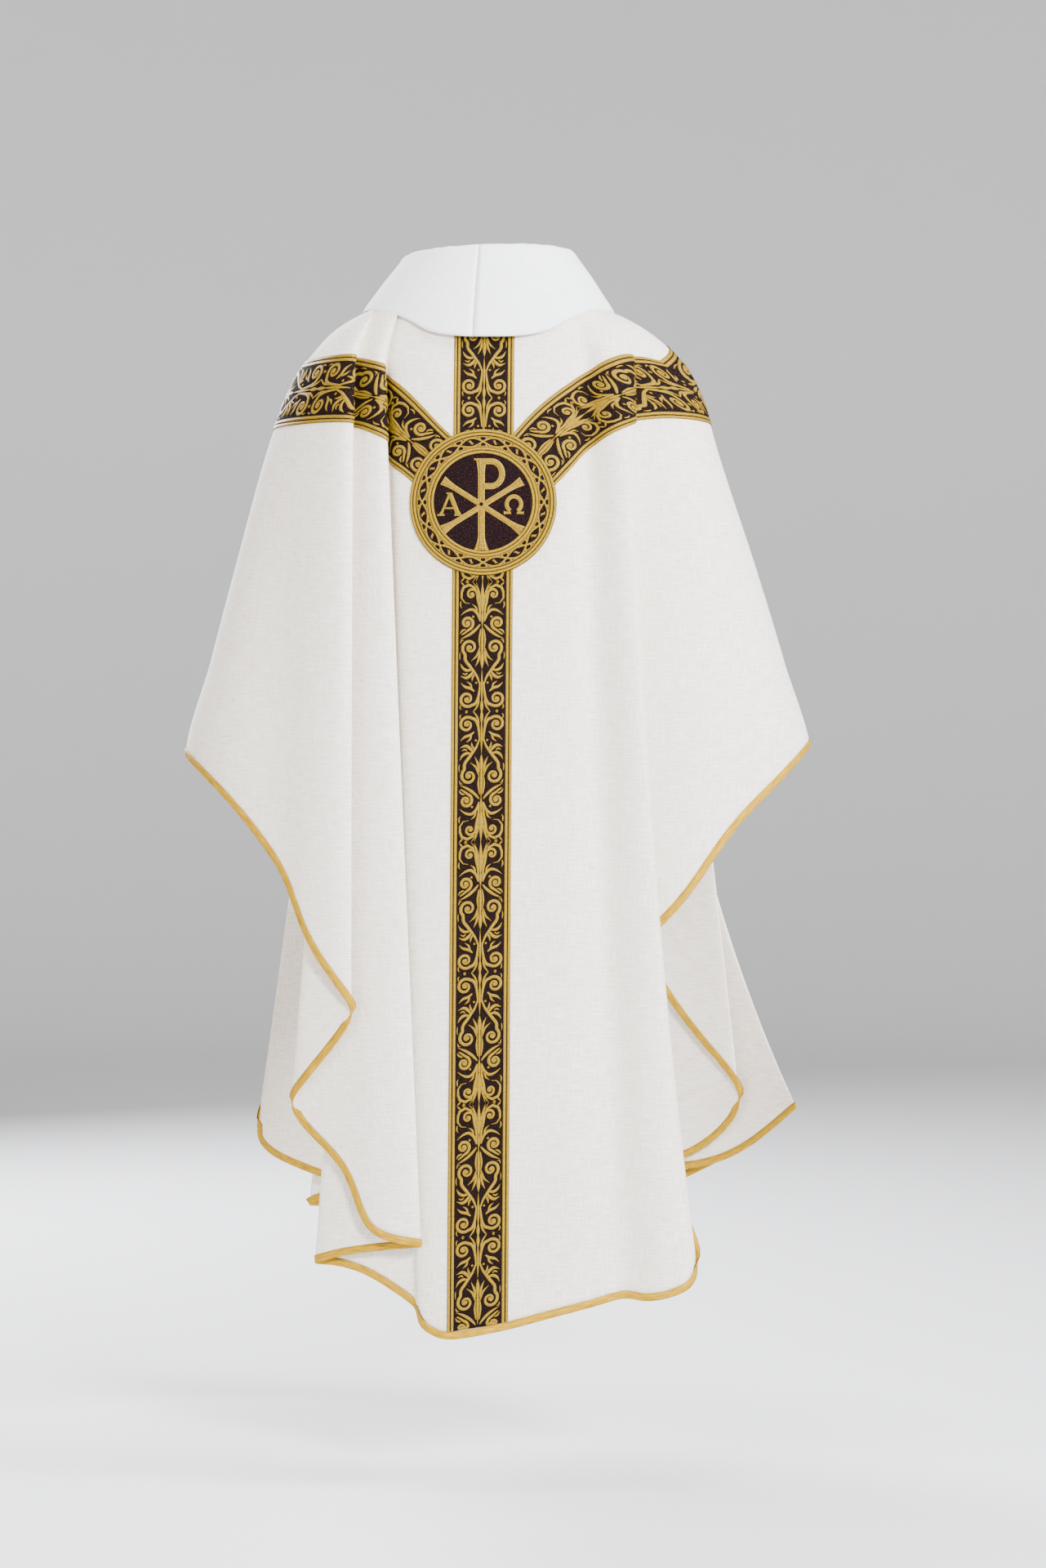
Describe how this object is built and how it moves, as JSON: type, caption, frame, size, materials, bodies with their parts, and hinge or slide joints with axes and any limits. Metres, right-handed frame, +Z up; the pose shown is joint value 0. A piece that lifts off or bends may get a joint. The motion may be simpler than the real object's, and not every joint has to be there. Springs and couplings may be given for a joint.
{
  "type": "chasuble",
  "caption": "Ivory Gothic chasuble hung as worn, with a turned-down collar, dark gold-edged orphrey bands, a round embroidered medallion and gold-bound hems.",
  "frame": {"origin": "middle of the neck opening, level with the points of the wearer's shoulders", "axes": "+Z up, +X to the wearer's left, +Y to the wearer's back, so the front faces -Y"},
  "size_m": [0.8402, 0.5641, 1.4115],
  "materials": {
    "ivory_cloth": "matte slubbed weave",
    "collar_cloth": "matte plain weave",
    "seam_tape": "matte twill tape",
    "gold_braid": "metallic thread braid",
    "gold_satin": "satin bias tape",
    "orphrey_cloth": "woven brocade with gold scrolls",
    "medallion_velvet": "dark stitched ground",
    "gold_embroidery": "laid metallic thread"
  },
  "bodies": {
    "root": {"alpha": "gold_embroidery", "back_arm_left": "orphrey_cloth", "back_arm_left_braid": "gold_braid", "back_arm_right": "orphrey_cloth", "back_arm_right_braid": "gold_braid", "back_column_lower": "orphrey_cloth", "back_column_lower_braid": "gold_braid", "back_column_upper": "orphrey_cloth", "back_column_upper_braid": "gold_braid", "back_hem_binding": "gold_satin", "back_panel": "ivory_cloth", "chi_rho": "gold_embroidery", "collar_fall_left": "collar_cloth", "collar_fall_right": "collar_cloth", "collar_stand_left": "collar_cloth", "collar_stand_right": "collar_cloth", "front_arm_left": "orphrey_cloth", "front_arm_left_braid": "gold_braid", "front_arm_right": "orphrey_cloth", "front_arm_right_braid": "gold_braid", "front_column": "orphrey_cloth", "front_column_braid": "gold_braid", "front_hem_binding": "gold_satin", "front_panel": "ivory_cloth", "medallion_ground": "medallion_velvet", "medallion_inner_rim": "gold_embroidery", "medallion_interlace": "gold_embroidery", "medallion_outer_rim": "gold_embroidery", "neck_tape": "seam_tape", "omega": "gold_embroidery", "shoulder_seam_tape_left": "seam_tape", "shoulder_seam_tape_right": "seam_tape"}
  },
  "joints": []
}
